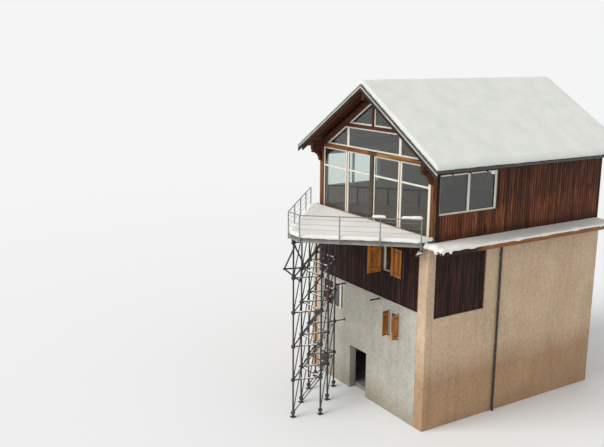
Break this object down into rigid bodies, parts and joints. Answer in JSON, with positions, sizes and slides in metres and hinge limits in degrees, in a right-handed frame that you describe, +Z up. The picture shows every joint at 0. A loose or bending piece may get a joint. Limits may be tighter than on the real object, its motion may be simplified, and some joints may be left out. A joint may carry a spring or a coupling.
{
  "type": "alpine chalet",
  "caption": "Alpine chalet on a masonry base with a glazed timber gable, boarded walls, snow-covered roof and a prow terrace on a steel space frame.",
  "frame": {"origin": "centre of the masonry footprint at the underside of the walls", "axes": "+X along the glazed front to the right, +Y from the glazed front to the back, +Z up"},
  "size_m": [10.2, 15.2652, 14.6124],
  "materials": {
    "concrete": "plain cast concrete",
    "grey_render": "matt mineral render, weathered",
    "cream_render": "matt mineral render, water-stained low down",
    "dark_boards": "dark stained softwood boards",
    "red_boards": "red-brown stained softwood boards",
    "brown_timber": "oiled structural timber",
    "soffit_timber": "dark red-brown stained roof timber",
    "white_frame": "cream-white painted timber",
    "glass": "clear double glazing",
    "shutter_wood": "orange-brown stained boards",
    "black_steel": "black painted steel",
    "grey_steel": "grey coated steel, weathered",
    "galvanised": "dull galvanised steel",
    "edge_beam": "orange-brown stained edge board",
    "deck_wood": "weathered softwood boards",
    "roof_edge": "pale sheet-metal verge trim",
    "roof_skin": "dark sheet-metal covering on boards",
    "snow": "soft settled snow"
  },
  "bodies": {
    "house": {"cellar_floor": "concrete", "inner_floors": "concrete", "upper_floor": "soffit_timber", "cellar_front_left": "grey_render", "cellar_front_right": "grey_render", "front_wall_low": "grey_render", "right_wall": "cream_render", "left_wall": "cream_render", "back_wall": "cream_render", "front_columns": "cream_render", "front_wall_mid": "brown_timber", "cladding_panels": "dark_boards", "window_frames": "white_frame", "window_glass": "glass", "back_door": "dark_boards", "shutter_pintles": "black_steel", "wall_outriggers": "black_steel", "downpipe": "black_steel", "side_ledges": "soffit_timber", "ledge_beams": "edge_beam", "front_posts": "brown_timber", "front_beams": "brown_timber", "gable_rafters": "soffit_timber", "glazing_frame_low": "white_frame", "glazing_frame_high": "white_frame", "glazing_glass": "glass", "right_wall_up": "red_boards", "left_wall_up": "red_boards", "back_wall_up": "red_boards", "purlins": "soffit_timber", "corbels": "soffit_timber", "rafters": "soffit_timber", "roof_left": "roof_skin", "roof_right": "roof_skin", "barge_boards": "roof_edge", "deck_boards": "deck_wood", "deck_joists": "grey_steel", "deck_bearers": "black_steel", "deck_edge": "grey_steel", "rail_posts": "galvanised", "handrail": "galvanised", "rail_cables": "galvanised", "frame_columns": "black_steel", "frame_rails": "black_steel", "frame_diagonals": "black_steel", "frame_ties": "black_steel", "roof_snow_left": "snow", "roof_snow_right": "snow", "low_snow": "snow"},
    "shutter_mid_left": {"shutter_mid_left": "shutter_wood"},
    "shutter_mid_right": {"shutter_mid_right": "shutter_wood"},
    "shutter_low_left": {"shutter_low_left": "shutter_wood"},
    "shutter_low_right": {"shutter_low_right": "shutter_wood"}
  },
  "joints": [
    {"name": "shutter_mid_left_hinge", "type": "hinge", "parent": "house", "child": "shutter_mid_left", "pos_m": [1.16, -5.205, 6.93], "axis": [0, 0, 1], "range_deg": [-90, 90]},
    {"name": "shutter_mid_right_hinge", "type": "hinge", "parent": "house", "child": "shutter_mid_right", "pos_m": [2.6, -5.205, 6.93], "axis": [0, 0, 1], "range_deg": [0, 180]},
    {"name": "shutter_low_left_hinge", "type": "hinge", "parent": "house", "child": "shutter_low_left", "pos_m": [1.9, -5.255, 4.16], "axis": [0, 0, 1], "range_deg": [-90, 90]},
    {"name": "shutter_low_right_hinge", "type": "hinge", "parent": "house", "child": "shutter_low_right", "pos_m": [2.55, -5.255, 4.16], "axis": [0, 0, 1], "range_deg": [-90, 90]}
  ]
}
